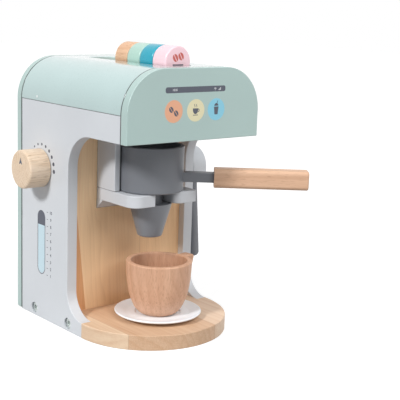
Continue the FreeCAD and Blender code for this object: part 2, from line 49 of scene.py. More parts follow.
# Camera, found by fitting the corners of the casing in the photograph
camera_place = (-665.9, -869.4, 370.2)
camera_yaw = 39.90
camera_pitch = 11.41
camera_roll = -1.95
camera_lens = 88.37
camera_sensor = 36.0
camera_shift = 0.021

# Light, as shares of the level at which a colour renders as written
sky_level = 0.275
key_level = 0.71
key_direction = (-1.0, -0.11, 0.68)
key_spread = 11.0
rim_level = 0.24
rim_direction = (0.4, 0.95, 0.18)
rim_spread = 35.0
fill_level = 0.57
fill_direction = (0.15, -0.92, 0.98)
fill_distance = 2.4
fill_size = 1.8
sun_distance = 2.0

# Floor: its grey in the part's light, and its grey and glow as the camera sees it
floor_half = 6.0
floor_grey = 0.36
floor_seen_grey = 0.5
floor_glow = 0.68

# Prints: how thick the ink is, and the share of their size by which letters swell
ink_height = 0.05
letter_swell = 0.022

# Finishes: how far the paler edges reach, which are partly wear and partly a painted highlight, and the angle
# of a sharp edge in degrees
pale_edge_reach = 0.9
sharp_angle = 35.0

# Rounded edges of the turned pieces
knob_back_edge = 1.0
knob_front_edge = 2.6
capsule_edge = 1.8

# Saucer: radii of its foot and its well, levels of the well's floor and of the flat around it
saucer_foot = 31.0
saucer_well = 25.0
saucer_well_floor = 3.0
saucer_flat = 4.2

# Places taken from the frame
panel_low, panel_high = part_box("side_panel_left")
cup_low, cup_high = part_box("cup")
cup_axis = (0.0, (cup_low.y + cup_high.y) / 2, cup_high.z)
fork_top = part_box("fork_board")[1].z
filter_low, filter_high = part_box("filter_cup")
filter_axis = (filter_low.y + filter_high.y) / 2


# Colours and procedural finishes

def linear(value):
    share = value / 255
    return share / 12.92 if share <= 0.04045 else ((share + 0.055) / 1.055) ** 2.4


def tone(red, green, blue):
    return (linear(red), linear(green), linear(blue), 1.0)


def dim(colour, factor):
    # Darker below 1, lighter above 1, and never past full reflection
    return tuple(min(channel * factor, 1.0) for channel in colour[:3]) + (1.0,)


class Finish:
    # A material with short ways to add nodes and join them

    def __init__(self, name, roughness):
        self.material = bpy.data.materials.new(name)
        self.material.use_nodes = True
        self.tree = self.material.node_tree
        self.shader = self.tree.nodes["Principled BSDF"]
        self.shader.inputs["Roughness"].default_value = roughness
        self.place = self.add("ShaderNodeTexCoord")["Object"]

    def add(self, kind, inputs=None, **settings):
        made = self.tree.nodes.new(kind)
        for setting, value in settings.items():
            setattr(made, setting, value)
        for key, value in (inputs or {}).items():
            self.feed(made.inputs[key], value)
        return made.outputs

    def feed(self, socket, value):
        if isinstance(value, bpy.types.NodeSocket):
            self.tree.links.new(value, socket)
        else:
            socket.default_value = value

    def maths(self, operation, *values):
        return self.add("ShaderNodeMath", dict(enumerate(values)), operation=operation)[0]

    def vector(self, operation, *values):
        return self.add("ShaderNodeVectorMath", dict(enumerate(values)), operation=operation)

    def noise(self, stretch, detail=2.0, place=None):
        spread = self.vector("MULTIPLY", place or self.place, stretch)[0]
        return self.add("ShaderNodeTexNoise", {"Vector": spread, "Scale": 1.0, "Detail": detail})[0]

    def span(self, value, low, high, to_low=0.0, to_high=1.0):
        inputs = {"Value": value, "From Min": low, "From Max": high, "To Min": to_low, "To Max": to_high}
        return self.add("ShaderNodeMapRange", inputs, clamp=True)[0]

    def mix(self, factor, first, second, blend="MIX"):
        # Sockets 6 and 7 take the colours, and output 2 gives the mixed one
        inputs = {0: factor, 6: first, 7: second}
        return self.add("ShaderNodeMix", inputs, data_type="RGBA", blend_type=blend)[2]

    def edges(self):
        # 1 along edges and corners, 0 on the faces between them
        rounded = self.add("ShaderNodeBevel", {"Radius": pale_edge_reach * MM}, samples=4)["Normal"]
        true = self.add("ShaderNodeNewGeometry")["Normal"]
        return self.span(self.vector("DOT_PRODUCT", rounded, true)["Value"], 0.86, 0.985, 1.0, 0.0)

    def rough(self, pattern, level, below, above):
        self.feed(self.shader.inputs["Roughness"], self.span(pattern, 0.3, 0.7, level - below, level + above))

    def relief(self, height, depth, strength=1.0):
        inputs = {"Strength": strength, "Distance": depth * MM, "Height": height}
        bumped = self.add("ShaderNodeBump", inputs)["Normal"]
        self.tree.links.new(bumped, self.shader.inputs["Normal"])

    def coloured(self, colour):
        self.feed(self.shader.inputs["Base Color"], colour)
        return self.material


def from_filter_axis(finish):
    flat = finish.vector("MULTIPLY_ADD", finish.place, (1, 1, 0), (0, -filter_axis, 0))[0]
    return finish.vector("LENGTH", flat)["Value"]


def paint(name, colour, roughness=0.42, edge_wear_and_sheen=0.35, clouds=0.05, coat=0.0, shine=0.12, peel=0.08,
          gap_shades=()):
    # Sprayed or rolled paint over board: faint clouds, fine orange peel, paler edges that are partly wear and
    # partly painted highlight, and dark lines of painted shade where shade falls in the gaps between parts.
    # Each such painted gap shade is an axis with a level on it, a width and a strength. Axis R runs out from
    # the filter's axis.
    finish = Finish(name, roughness)
    finish.shader.inputs["Coat Weight"].default_value = coat
    finish.shader.inputs["Coat Roughness"].default_value = shine
    cloud = finish.noise((11, 11, 11), 4)
    fine = finish.noise((900, 900, 900), 3)
    base = finish.mix(finish.span(cloud, 0.3, 0.7), dim(colour, 1 - clouds), dim(colour, 1 + clouds / 3))
    base = finish.mix(finish.span(fine, 0.35, 0.75, 0.0, 0.2), base, dim(colour, 0.92))
    # Paler edges: partly wear and partly a painted highlight along every edge
    worn_and_sheen = finish.maths("MULTIPLY", finish.edges(), edge_wear_and_sheen)
    base = finish.mix(worn_and_sheen, base, dim(colour, 1.22))
    parts = finish.add("ShaderNodeSeparateXYZ", {0: finish.place})
    # Painted shade: a near-black line where shade falls in the gap between two parts
    for axis, level, width, strength in gap_shades:
        reached = from_filter_axis(finish) if axis == "R" else parts[axis]
        gap = finish.maths("ABSOLUTE", finish.maths("SUBTRACT", reached, level))
        line = finish.span(gap, width * 0.35, width * 0.5, strength, 0.0)
        base = finish.mix(line, base, dim(colour, 0.12))
    finish.rough(fine, roughness, 0.04, 0.05)
    finish.relief(finish.maths("MULTIPLY_ADD", fine, 0.5, cloud), peel, 0.5)
    return finish.coloured(base)


def grain_place(finish, axis, turn=0.0):
    # Coordinates whose third one runs along the grain
    place = finish.place
    if turn:
        rotation = (0.0, 0.0, math.radians(turn))
        place = finish.add("ShaderNodeMapping", {"Vector": place, "Rotation": rotation})[0]
    parts = finish.add("ShaderNodeSeparateXYZ", {0: place})
    order = {"x": ("Y", "Z", "X"), "y": ("X", "Z", "Y"), "z": ("X", "Y", "Z")}[axis]
    inputs = {index: parts[letter] for index, letter in enumerate(order)}
    return finish.add("ShaderNodeCombineXYZ", inputs)[0]


def ring_share(finish, place, heart, ring, wander, lean):
    # 0 in the pale early wood and 1 in the dark late wood of each growth ring.
    # The heart of the tree is a place across the grain, and the rings wander and lean about it.
    parts = finish.add("ShaderNodeSeparateXYZ", {0: place})
    slow = finish.noise((16, 16, 3), 3, place)
    across = finish.maths("MULTIPLY_ADD", parts["Z"], lean, parts["X"])
    across = finish.maths("SUBTRACT", across, heart[0] * MM)
    deep = finish.maths("SUBTRACT", parts["Y"], heart[1] * MM)
    square = finish.maths("MULTIPLY_ADD", across, across, finish.maths("MULTIPLY", deep, deep))
    radius = finish.maths("MULTIPLY_ADD", slow, wander * MM, finish.maths("SQRT", square))
    phase = finish.maths("DIVIDE", radius, ring * MM)
    part = finish.maths("FRACT", phase)
    rise = finish.span(part, 0.2, 0.86)
    fall = finish.span(part, 0.88, 1.0, 1.0, 0.0)
    share = finish.maths("MULTIPLY", finish.maths("POWER", rise, 1.8), fall)
    along = finish.add("ShaderNodeCombineXYZ", {0: finish.maths("MULTIPLY", phase, 0.37)})[0]
    varied = finish.noise((1, 1, 1), 2, along)
    return finish.maths("MULTIPLY", share, finish.span(varied, 0.35, 0.65, 0.25, 1.0))


def board_sides(finish, joints):
    # For each glued joint, the coordinate that runs across it and whether a point lies beyond it
    parts = finish.add("ShaderNodeSeparateXYZ", {0: finish.place})
    sides = []
    for seam, tint, slant in joints:
        line = finish.maths("MULTIPLY_ADD", parts["Z"], slant, parts["X"])
        sides.append((line, finish.maths("GREATER_THAN", line, seam * MM)))
    return sides


def board_grain(finish, place, sides):
    # Each board beyond a joint takes its grain from another place of the tree
    for index, (line, beyond) in enumerate(sides):
        jump = finish.vector("SCALE", (0.11 + 0.07 * index, 0.031, 0.4))
        finish.feed(jump[0].node.inputs["Scale"], beyond)
        place = finish.vector("ADD", place, jump[0])[0]
    return place


def board_tints(finish, base, dark, joints, sides):
    # A slanted joint shows as a change of colour and hardly as a line
    for (seam, tint, slant), (line, beyond) in zip(joints, sides):
        base = finish.mix(beyond, base, finish.mix(1.0, base, tint, "MULTIPLY"))
        gap = finish.maths("ABSOLUTE", finish.maths("SUBTRACT", line, seam * MM))
        depth = 0.1 if slant else 0.4
        base = finish.mix(finish.span(gap, 0.1 * MM, 0.4 * MM, depth, 0.0), base, dim(dark, 0.6))
    return base


def end_pores(finish, base, dark, facing, axis, speckle, sides):
    # End grain: short dark pores where the face cuts across the fibres
    end = finish.maths("ABSOLUTE", finish.add("ShaderNodeSeparateXYZ", {0: facing})[axis.upper()])
    pores = finish.span(finish.noise((900, 700, 700), 2), 0.46, 0.66, 0.0, speckle)
    cut = finish.maths("MULTIPLY", finish.span(end, 0.35, 0.6), sides[0][1] if sides else 1.0)
    return finish.mix(finish.maths("MULTIPLY", cut, pores), base, dim(dark, 0.8))


def deep_inside(finish, base, dark, facing, shaded_hollow):
    # Painted shade: the faces inside the turned hollow are darkened, where shade falls inside the cup
    outward = finish.vector("SUBTRACT", finish.place, shaded_hollow)[0]
    inward = finish.vector("DOT_PRODUCT", outward, facing)["Value"]
    return finish.mix(finish.span(inward, -12 * MM, -4 * MM, 0.42, 0.0), base, dim(dark, 0.62))


def wood(name, light, dark, axis, heart, ring, contrast, wander=30.0, lean=0.02, roughness=0.5,
         turn=0.0, flecks=0.0, joints=(), speckle=0.0, shaded_hollow=None):
    # Clear lacquered wood: growth rings, fine fibres, optional short flecks and glued boards.
    # A joint is its place across X, the tint beyond it and its slant with height.
    finish = Finish(name, roughness)
    sides = board_sides(finish, joints)
    place = board_grain(finish, grain_place(finish, axis, turn), sides)
    ring_part = ring_share(finish, place, heart, ring, wander, lean)
    fibre = finish.noise((900, 900, 16), 3, place)
    streak = finish.noise((160, 160, 4), 4, place)
    cloud = finish.noise((22, 22, 5), 3, place)
    share = finish.maths("MULTIPLY", ring_part, contrast)
    for pattern, weight in ((fibre, 0.18), (streak, 0.28), (cloud, 0.22)):
        share = finish.maths("MULTIPLY_ADD", finish.span(pattern, 0.3, 0.7), weight, share)
    base = finish.mix(share, light, dark)
    if flecks:
        dash = finish.noise((1150, 1150, 110), 1, place)
        base = finish.mix(finish.span(dash, 0.58, 0.68, 0.0, flecks), base, dim(dark, 0.72))
    base = board_tints(finish, base, dark, joints, sides)
    facing = finish.add("ShaderNodeNewGeometry")["Normal"]
    if speckle:
        base = end_pores(finish, base, dark, facing, axis, speckle, sides)
    # Painted shade inside the cup's hollow
    if shaded_hollow:
        base = deep_inside(finish, base, dark, facing, shaded_hollow)
    # Paler edges: partly wear and partly a painted highlight along every edge
    worn_and_sheen = finish.maths("MULTIPLY", finish.edges(), 0.25)
    base = finish.mix(worn_and_sheen, base, dim(light, 1.08))
    finish.rough(fibre, roughness, 0.08, 0.08)
    finish.relief(finish.maths("MULTIPLY_ADD", ring_part, 0.3, fibre), 0.12, 0.5)
    return finish.coloured(base)


def metal(name, colour, roughness=0.35):
    # Plated steel: even, with a fine grain in its gloss
    finish = Finish(name, roughness)
    finish.shader.inputs["Metallic"].default_value = 1.0
    fine = finish.noise((1500, 1500, 1500), 2)
    finish.rough(fine, roughness, 0.1, 0.1)
    finish.relief(fine, 0.05, 0.4)
    return finish.coloured(finish.mix(fine, dim(colour, 0.9), dim(colour, 1.1)))


def ink(name, colour, roughness=0.5):
    # Screen-printed ink: almost even, with small thin spots
    finish = Finish(name, roughness)
    fine = finish.noise((1300, 1300, 1300), 3)
    finish.relief(fine, 0.03, 0.4)
    return finish.coloured(finish.mix(finish.span(fine, 0.35, 0.75, 0.0, 0.5), colour, dim(colour, 0.88)))


# Painted shade in the gaps between parts: along the panels' front, top and back edges, on the block just
# above the fork, where the block and fork meet the wall, and round the filter's pocket
front_gap_shade = ("Y", panel_low.y, 2.0 * MM, 0.92)
roof_gap_shade = ("Z", panel_high.z, 1.0 * MM, 0.75)
rear_gap_shade = ("Y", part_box("back_panel")[0].y, 3.4 * MM, 0.92)
holder_gap_shade = ("Z", fork_top + 0.4 * MM, 0.8 * MM, 0.8)
wall_gap_shade = ("Y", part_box("recess_wall")[0].y, 2.0 * MM, 0.6)
pocket_gap_shade = ("R", filter_high.x + 1.0 * MM, 3.0 * MM, 0.9)
PANEL = paint("panel_paint", tone(217, 221, 226), 0.38, gap_shades=(front_gap_shade, roof_gap_shade, rear_gap_shade))
# The fork, its bracket and the block take the panels' grey paint a little darker: painted shade for the bay
# that they stand in
HOLDER_IN_SHADE = paint("holder_paint_shaded", tone(211, 214, 219), 0.38, gap_shades=(wall_gap_shade,))
BLOCK_IN_SHADE = paint("block_paint_shaded", tone(211, 214, 219), 0.38, gap_shades=(wall_gap_shade, holder_gap_shade, pocket_gap_shade))
MINT = paint("mint_paint", tone(179, 203, 199), 0.36, edge_wear_and_sheen=0.25, coat=0.3, peel=0.02,
             gap_shades=(front_gap_shade, rear_gap_shade))
ROOF = paint("roof_paint", tone(182, 206, 205), 0.3, coat=1.0, shine=0.03, peel=0.01,
             gap_shades=(front_gap_shade, roof_gap_shade))
CHARCOAL = paint("charcoal_paint", tone(115, 118, 124), 0.42, edge_wear_and_sheen=0.12, clouds=0.06)
SLATE = paint("slate_paint", tone(130, 133, 139), 0.42, edge_wear_and_sheen=0.12, clouds=0.06)
WHITE = paint("saucer_paint", tone(244, 249, 255), 0.33, edge_wear_and_sheen=0.1, clouds=0.03)
PINK = paint("pink_paint", tone(252, 213, 222), 0.3, edge_wear_and_sheen=0.1, clouds=0.03, coat=0.3)
BLUE = paint("blue_paint", tone(0, 160, 184), 0.3, edge_wear_and_sheen=0.1, clouds=0.04, coat=0.35)
GREEN = paint("green_paint", tone(176, 210, 198), 0.3, edge_wear_and_sheen=0.1, clouds=0.04, coat=0.3)

# Woods: a tint beyond a joint is a factor on the colour, and above 255 it makes the board lighter
BASE = wood("base_pine", tone(238, 214, 186), tone(208, 168, 132), "y", (-20, -60), 9.0, 0.3,
            joints=((-69, tone(240, 228, 220), 0), (31, tone(271, 286, 302), 0)), speckle=0.4)
WALL = wood("wall_pine", tone(232, 178, 130), tone(204, 149, 102), "z", (-190, 20), 4.5, 0.24,
            wander=60.0, lean=0.05,
            joints=((-56.4, tone(286, 322, 354), 0.113), (18, tone(250, 244, 238), 0)))
KNOB = wood("knob_pine", tone(250, 230, 208), tone(216, 184, 148), "x", (60, 190), 3.6, 0.45,
            lean=0.0, flecks=0.6)
BEECH = wood("cup_beech", tone(226, 183, 153), tone(188, 137, 105), "z", (70, -90), 6.0, 0.3, wander=40.0,
             lean=0.14, flecks=0.4, shaded_hollow=cup_axis)
GRIP = wood("handle_beech", tone(222, 184, 154), tone(190, 146, 116), "x", (30, 150), 9.0, 0.3,
            turn=39.2, flecks=0.35)
PEG = wood("peg_beech", tone(222, 184, 148), tone(190, 146, 108), "x", (20, 20), 4.0, 0.4)
CAPSULE_WOOD = wood("capsule_beech", tone(236, 196, 162), tone(204, 154, 118), "y", (0, 240), 5.0, 0.4,
                    flecks=0.5)
PLY = wood("plywood", tone(214, 182, 140), tone(176, 138, 98), "y", (0, 500), 1.6, 0.6, wander=4.0)

# Metal and inks
STEEL = metal("zinc_steel", tone(200, 206, 204))
PIN = paint("pin_paint", tone(244, 246, 246), 0.3, edge_wear_and_sheen=0.0, clouds=0.02)
DARK_INK = ink("dark_ink", tone(88, 92, 104))
WHITE_INK = ink("white_ink", tone(232, 234, 238))
ORANGE_INK = ink("orange_ink", tone(240, 180, 146))
YELLOW_INK = ink("yellow_ink", tone(236, 228, 190))
BLUE_INK = ink("blue_ink", tone(146, 212, 234))
PALE_INK = ink("pale_ink", tone(206, 230, 240))
RED_INK = ink("red_ink", tone(206, 104, 96))

NODE_FINISH = {
    "side_panel_left": PANEL, "side_panel_right": PANEL, "ceiling_board": PANEL, "group_block": BLOCK_IN_SHADE,
    "fork_board": HOLDER_IN_SHADE, "fork_bracket": HOLDER_IN_SHADE, "steam_block": PANEL,
    "back_panel": MINT, "fascia": MINT, "roof_shell": ROOF,
    "base_board": BASE, "recess_wall": WALL,
    "capsule_tray": PLY, "roof_batten_left": PLY, "roof_batten_right": PLY, "knob_retainer": PLY,
    "filter_cup": CHARCOAL, "filter_bar": CHARCOAL, "spout": SLATE, "steam_wand": SLATE,
    "filter_handle": GRIP, "knob": KNOB, "knob_spindle": PEG, "steam_pin": PEG,
    "knob_washer": STEEL, "panel_bolts": STEEL, "block_screws": STEEL, "fork_screws": STEEL, "roof_pins": PIN,
    "wall_dowels": PEG, "ceiling_dowels": PEG, "back_dowels": PEG, "fascia_dowels": PEG,
    "cup": BEECH, "saucer": WHITE,
    "capsule_1": PINK, "capsule_2": BLUE, "capsule_3": GREEN, "capsule_4": CAPSULE_WOOD,
}


def dress_nodes():
    for node, material in NODE_FINISH.items():
        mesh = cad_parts[node].data
        mesh.materials.clear()
        mesh.materials.append(material)


# Pieces turned on a lathe

def rounded(corners, steps=7):
    # Points along a profile whose corners (radius, height, round) are arcs
    points = []
    for index, (radius, height, bend) in enumerate(corners):
        here = Vector((radius, height))
        if bend <= 0 or index in (0, len(corners) - 1):
            points.append(here)
            continue
        before = (Vector(corners[index - 1][:2]) - here).normalized()
        after = (Vector(corners[index + 1][:2]) - here).normalized()
        half = before.angle(after) / 2
        reach = bend / math.tan(half)
        centre = here + (before + after).normalized() * bend / math.sin(half)
        start = here + before * reach - centre
        end = here + after * reach - centre
        whole = start.angle_signed(end)
        for step in range(steps + 1):
            points.append(centre + Matrix.Rotation(-whole * step / steps, 2) @ start)
    return points


def turned(name, corners, place, material, sides=96, axis=(0, 0, 1)):
    # Profile turned about an axis, which starts at the place
    grid = bmesh.new()
    rings = []
    for radius, height in rounded(corners):
        if radius < 0.001:
            rings.append([grid.verts.new((0, 0, height * MM))])
            continue
        ring = []
        for side in range(sides):
            angle = math.tau * side / sides
            across = radius * math.cos(angle) * MM
            deep = radius * math.sin(angle) * MM
            ring.append(grid.verts.new((across, deep, height * MM)))
        rings.append(ring)
    for low, high in zip(rings, rings[1:]):
        for side in range(sides):
            after = (side + 1) % sides
            # Where a row is a single point on the axis, the face is a triangle
            around = ((low, side), (low, after), (high, after), (high, side))
            grid.faces.new(list(dict.fromkeys(row[index % len(row)] for row, index in around)))
    bmesh.ops.recalc_face_normals(grid, faces=grid.faces)
    spin = Vector((0, 0, 1)).rotation_difference(Vector(axis)).to_matrix().to_4x4()
    grid.transform(Matrix.Translation(place) @ spin)
    return mesh_piece(name, grid, material)


def mesh_piece(name, grid, material, smooth=True):
    mesh = bpy.data.meshes.new(name)
    grid.to_mesh(mesh)
    grid.free()
    if smooth:
        mesh.polygons.foreach_set("use_smooth", [True] * len(mesh.polygons))
        mesh.set_sharp_from_angle(angle=math.radians(sharp_angle))
    mesh.materials.append(material)
    piece = bpy.data.objects.new(name, mesh)
    bpy.context.scene.collection.objects.link(piece)
    return piece


def stand_for(piece, node, body):
    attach(piece, body)
    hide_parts(node)


def knob_piece():
    low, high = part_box("knob")
    radius = (high.z - low.z) / 2 / MM
    length = (high.x - low.x) / MM
    corners = [(0, 0, 0), (radius, 0, knob_back_edge), (radius, length, knob_front_edge), (0, length, 0)]
    centre = Vector((high.x, (low.y + high.y) / 2, (low.z + high.z) / 2))
    piece = turned("wooden_knob", corners, centre, KNOB, 120, (-1, 0, 0))
    stand_for(piece, "knob", "knob")


def capsule_pieces():
    finishes = (PINK, BLUE, GREEN, CAPSULE_WOOD)
    slots = ("capsule_pink", "capsule_blue", "capsule_green", "capsule_wood")
    for index, (material, slot) in enumerate(zip(finishes, slots)):
        node = "capsule_" + str(index + 1)
        low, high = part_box(node)
        radius = (high.z - low.z) / 2 / MM
        length = (high.y - low.y) / MM
        corners = [(0, 0, 0), (radius, 0, capsule_edge), (radius, length, capsule_edge), (0, length, 0)]
        centre = Vector((0, low.y, (low.z + high.z) / 2))
        piece = turned("coin_" + node, corners, centre, material, 96, (0, 1, 0))
        stand_for(piece, node, node)


def saucer_piece():
    # Profile from the middle of the underside out to the rim and back into the well
    low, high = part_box("saucer")
    reach = (high.x - low.x) / 2 / MM
    rise = (high.z - low.z) / MM
    corners = [
        (0, 0, 0), (saucer_foot, 0, 1.5), (saucer_foot + 3, 0.9, 6),
        (reach - 2.5, rise - 2.9, 3), (reach, rise - 1.2, 1.1), (reach - 1.6, rise, 0.8),
        (reach - 5, rise - 0.9, 5), (saucer_foot + 5, saucer_flat, 8), (saucer_well + 1.4, saucer_flat, 0.5),
        (saucer_well, saucer_well_floor, 0.5), (0, saucer_well_floor, 0),
    ]
    centre = Vector(((low.x + high.x) / 2, (low.y + high.y) / 2, low.z))
    piece = turned("white_saucer", corners, centre, WHITE, 128)
    stand_for(piece, "saucer", "saucer")


# Flat prints, in millimetres across and up on the face that they lie on

def face_matrix(origin, right, up):
    across = Vector(right)
    rise = Vector(up)
    turn = Matrix((across, rise, across.cross(rise))).transposed().to_4x4()
    return Matrix.Translation(origin) @ turn


def disc(centre, radius, steps=48):
    turns = [math.tau * step / steps for step in range(steps)]
    return [[(centre[0] + radius * math.cos(turn), centre[1] + radius * math.sin(turn)) for turn in turns]]


def arc_line(centre, radius, start, end, steps=16):
    turns = [math.radians(start + (end - start) * step / steps) for step in range(steps + 1)]
    return [(centre[0] + radius * math.cos(turn), centre[1] + radius * math.sin(turn)) for turn in turns]


def bar(left, right, low, high, bend, steps=6):
    # Rectangle with round corners
    corners = ((right - bend, high - bend, 0), (left + bend, high - bend, 90),
               (left + bend, low + bend, 180), (right - bend, low + bend, 270))
    outline = []
    for across, up, start in corners:
        outline += arc_line((across, up), bend, start, start + 90, steps)
    return [outline]


def stroke(points, width, closed=False):
    # Quads of one line of even width along the points
    last = len(points) - 1
    sides = []
    for index, point in enumerate(points):
        before = points[index - 1] if closed or index > 0 else point
        after = points[(index + 1) % len(points)] if closed or index < last else point
        run = (Vector(after) - Vector(before)).normalized()
        half = Vector((-run.y, run.x)) * width / 2
        sides.append((Vector(point) + half, Vector(point) - half))
    pairs = list(zip(sides, sides[1:]))
    if closed:
        pairs.append((sides[-1], sides[0]))
    return [[first[0], second[0], second[1], first[1]] for first, second in pairs]


def printed(name, body, face, polygons, material, layer=0):
    grid = bmesh.new()
    for polygon in polygons:
        grid.faces.new([grid.verts.new((point[0] * MM, point[1] * MM, 0)) for point in polygon])
    bmesh.ops.remove_doubles(grid, verts=grid.verts, dist=0.001 * MM)
    lifted = bmesh.ops.extrude_face_region(grid, geom=list(grid.faces))["geom"]
    tops = [item for item in lifted if isinstance(item, bmesh.types.BMVert)]
    bmesh.ops.translate(grid, verts=tops, vec=(0, 0, ink_height * MM))
    bmesh.ops.recalc_face_normals(grid, faces=grid.faces)
    grid.transform(face @ Matrix.Translation((0, 0, layer * ink_height * MM)))
    piece = mesh_piece(name, grid, material, smooth=False)
    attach(piece, body)


def lettered(name, body, face, text, size, place, material, layer=0):
    curve = bpy.data.curves.new(name, "FONT")
    curve.body = text
    curve.size = size * MM
    curve.align_x = "CENTER"
    curve.align_y = "CENTER"
    curve.extrude = ink_height / 2 * MM
    curve.offset = size * letter_swell * MM
    curve.materials.append(material)
    piece = bpy.data.objects.new(name, curve)
    bpy.context.scene.collection.objects.link(piece)
    rise = (layer + 0.5) * ink_height * MM
    piece.matrix_world = face @ Matrix.Translation((place[0] * MM, place[1] * MM, rise))
    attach(piece, body)


def bean(centre, tilt, length, width):
    # Coffee bean as two halves with a slit between them
    halves = []
    turn = math.radians(tilt)
    for side in (-1, 1):
        slit = side * 0.07 * width
        rim = [math.radians(90 - side * 10 * step) for step in range(19)]
        points = [
            (slit + width / 2 * abs(math.cos(angle)) * side, length / 2 * math.sin(angle)) for angle in rim
        ]
        halves.append([
            (centre[0] + across * math.cos(turn) - up * math.sin(turn),
             centre[1] + across * math.sin(turn) + up * math.cos(turn)) for across, up in points
        ])
    return halves


def cup_mark(centre, width, height):
    # Small solid cup with its ear and the line that it stands on
    across, up = centre
    half = width / 2
    top = up + height / 2
    bowl = [(across + half * math.cos(turn), top - height * math.sin(turn) ** 0.8)
            for turn in (math.pi * step / 20 for step in range(21))]
    ear = stroke(arc_line((across + half * 0.95, top - height * 0.36), height * 0.25, 95, -95, 12), 0.75)
    line = stroke([(across - half * 0.9, up - height * 0.68), (across + half * 0.9, up - height * 0.68)], 0.7)
    return [bowl] + ear + line


def steam_mark(centre, height):
    # Two wavy lines that rise side by side
    lines = []
    for offset in (-1.3, 1.3):
        foot = centre[0] + offset
        points = [(foot + 0.45 * math.sin(step * 1.05), centre[1] + height * step / 6) for step in range(7)]
        lines += stroke(points, 0.55)
    return lines


def tumbler_mark(centre, width, height):
    # Tall solid glass with a domed lid and a straw
    across, up = centre
    half = width / 2
    top = up + height / 2
    body = [(across - half, top), (across + half, top), (across + half * 0.68, up - height / 2),
            (across - half * 0.68, up - height / 2)]
    dome = arc_line((across, top + 0.8), half * 0.9, 0, 180, 14)
    straw = stroke([(across + 0.6, top + half * 0.9), (across + 2.0, top + half + 3.2)], 0.7)
    return [body, dome] + straw


def screen_prints(face):
    # Dark bar with a clock on the left and two small signs on the right
    signal = (25.7, 278.6)
    foot = 278.5
    printed("screen_bar", "machine", face, bar(-41.7, 40.0, 277.0, 283.2, 2.2), DARK_INK)
    lettered("screen_clock", "machine", face, "10:25", 3.0, (-29.4, 280.1), WHITE_INK, 1)
    waves = disc(signal, 0.35, 16)
    for radius in (1.0, 1.7, 2.4):
        waves += stroke(arc_line(signal, radius, 45, 135, 8), 0.38)
    printed("screen_waves", "machine", face, waves, WHITE_INK, 1)
    steps = []
    for index in range(4):
        left = 30.3 + index * 0.85
        steps += bar(left, left + 0.55, foot, 279.2 + index * 0.7, 0.1, 2)
    printed("screen_steps", "machine", face, steps, WHITE_INK, 1)


def button_prints(face):
    # Three round buttons with a mark on each
    button_up = 257.9
    button_radius = 11.9
    beans = bean((-33.6, 259.8), 35, 6.6, 4.6) + bean((-27.0, 255.8), 35, 6.6, 4.6)
    cup = cup_mark((-0.9, 257.0), 7.4, 6.0) + steam_mark((-0.9, 261.4), 3.2)
    tumbler = tumbler_mark((27.9, 256.6), 6.4, 8.4)
    buttons = (
        (-30.2, ORANGE_INK, "capsule_wood", beans),
        (-0.6, YELLOW_INK, "pine", cup),
        (27.9, BLUE_INK, "capsule_blue", tumbler),
    )
    for index, (across, material, slot, mark) in enumerate(buttons):
        number = str(index + 1)
        round_face = disc((across, button_up), button_radius, 64)
        printed("button_" + number, "machine", face, round_face, material)
        printed("button_mark_" + number, "machine", face, mark, DARK_INK, 1)


def fascia_prints():
    face = face_matrix(Vector((0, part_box("fascia")[0].y, 0)), (1, 0, 0), (0, 0, 1))
    screen_prints(face)
    button_prints(face)


def dot_prints(face):
    # Dots that grow along an arc around the knob
    low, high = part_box("knob")
    centre = (-(low.y + high.y) / 2 / MM, (low.z + high.z) / 2 / MM)
    reach = 27
    dots = []
    for index in range(8):
        turn = math.radians(-34 + 18 * index)
        place = (centre[0] + reach * math.sin(turn), centre[1] + reach * math.cos(turn))
        dots += disc(place, 1.2 + 0.17 * index, 24)
    printed("knob_dots", "machine", face, dots, DARK_INK)


def gauge_prints(face):
    # Water gauge with round ends: air above the level, water below it
    left, right, bottom, top, level = -95.9, -79.6, 54.0, 129.5, 112.5
    rim = 1.1
    half = (right - left) / 2
    middle = (left + right) / 2
    air = [(right, level)] + arc_line((middle, top - half), half, 0, 180, 24) + [(left, level)]
    water = [(left + rim, level)] + arc_line((middle, bottom + half), half - rim, 180, 360, 24)
    water.append((right - rim, level))
    printed("gauge_air", "machine", face, [air], DARK_INK)
    printed("gauge_water", "machine", face, [water], PALE_INK)
    outline = arc_line((middle, bottom + half), half - 0.3, 180, 360, 24)
    outline += arc_line((middle, top - half), half - 0.3, 0, 180, 24)
    printed("gauge_outline", "machine", face, stroke(outline, 0.9, True), DARK_INK, 1)


def scale_prints(face):
    # Numbered ticks beside the gauge
    tick_half = 0.3
    number_across = -67.5
    number_size = 5.0
    ticks = []
    for number in range(1, 11):
        up = 55.0 + (number - 1) * 8.27
        name = "gauge_number_" + str(number)
        place = (number_across, up)
        ticks += bar(-76.2, -73.4, up - tick_half, up + tick_half, 0.1, 2)
        lettered(name, "machine", face, str(number), number_size, place, DARK_INK)
    printed("gauge_ticks", "machine", face, ticks, DARK_INK)


def panel_prints():
    face = face_matrix(Vector((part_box("side_panel_left")[0].x, 0, 0)), (0, -1, 0), (0, 0, 1))
    dot_prints(face)
    gauge_prints(face)
    scale_prints(face)


def knob_print():
    # Arrow head on the knob's end, sunk by half the ink
    low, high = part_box("knob")
    face = face_matrix(Vector((low.x + ink_height / 2 * MM, 0, 0)), (0, -1, 0), (0, 0, 1))
    across = -(low.y + high.y) / 2 / MM
    up = (low.z + high.z) / 2 / MM + 5.6
    arrow = [(across - 3.6, up), (across, up + 1.4), (across + 3.6, up), (across, up + 8.0)]
    printed("knob_mark", "knob", face, [arrow], DARK_INK)


